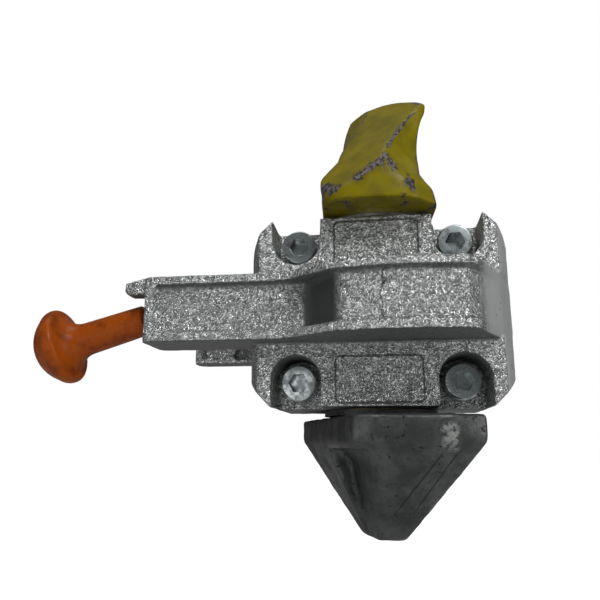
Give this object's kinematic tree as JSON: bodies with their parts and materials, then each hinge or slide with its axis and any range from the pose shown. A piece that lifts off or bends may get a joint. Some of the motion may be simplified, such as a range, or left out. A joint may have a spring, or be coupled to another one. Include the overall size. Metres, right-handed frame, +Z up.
{
  "type": "container twistlock",
  "caption": "Semi-automatic container twistlock: split cast housing with two collars, twisted upper and pyramid lower locking heads, pull rope and knob.",
  "frame": {"origin": "on the shaft axis, in the flange's lower seating plane", "axes": "+Z up the shaft towards the upper head, +X along the collars' long side and away from the arm, -Y towards the side with the arm and the screw heads"},
  "size_m": [0.2211, 0.1123, 0.2107],
  "materials": {
    "cast_zinc": "rough cast, hot-dip galvanised",
    "zinc_screw": "zinc plated",
    "bright_steel": "ground",
    "bronze": "machined",
    "yellow_paint": "chipped olive-yellow paint on forged steel",
    "worn_steel": "worn",
    "forged_steel": "forged, dark",
    "wire_rope": "stranded",
    "spring_steel": "oiled",
    "orange_plastic": "moulded, glossy",
    "ferrule_aluminium": "crimped"
  },
  "bodies": {
    "housing": {"housing_front": "cast_zinc", "housing_rear": "cast_zinc", "clamp_screws": "zinc_screw", "spring_washers": "zinc_screw", "clamp_nuts": "zinc_screw", "dowel_pins": "bright_steel", "stop_pin": "bright_steel", "upper_bush": "bronze", "lower_bush": "bronze", "rope_guide": "bright_steel", "torsion_spring": "spring_steel"},
    "shaft": {"shaft_lower_cone": "forged_steel", "upper_cone": "yellow_paint", "upper_cone_pin": "bright_steel", "top_thrust_washer": "worn_steel", "lower_thrust_washer": "worn_steel", "rope_drum": "cast_zinc", "rope_nipple": "bright_steel", "rope_wrap": "wire_rope"},
    "rope": {"wire_rope": "wire_rope"},
    "grip": {"handle": "orange_plastic", "rope_tail": "wire_rope", "handle_ferrule": "ferrule_aluminium"}
  },
  "joints": [
    {"name": "shaft_turn", "type": "hinge", "parent": "housing", "child": "shaft", "pos_m": [0, 0, 0], "axis": [0, 0, -1], "range_deg": [0, 110], "stiffness_Nm_per_rad": 0.8, "springref_deg": -34.38, "deforming": ["rope_wrap", "torsion_spring"]},
    {"name": "handle_pull", "type": "slide", "parent": "housing", "child": "rope", "axis": [-1, 0, 0], "range_m": [0, 0.04225]},
    {"name": "handle_swing", "type": "hinge", "parent": "rope", "child": "grip", "pos_m": [-0.098, -0.022, 0.016], "axis": [0, 1, 0], "range_deg": [-8, 16], "stiffness_Nm_per_rad": 0.4}
  ],
  "couplings": [
    {"joint": "handle_pull", "follows": "shaft_turn", "m_per_rad": 0.022}
  ]
}
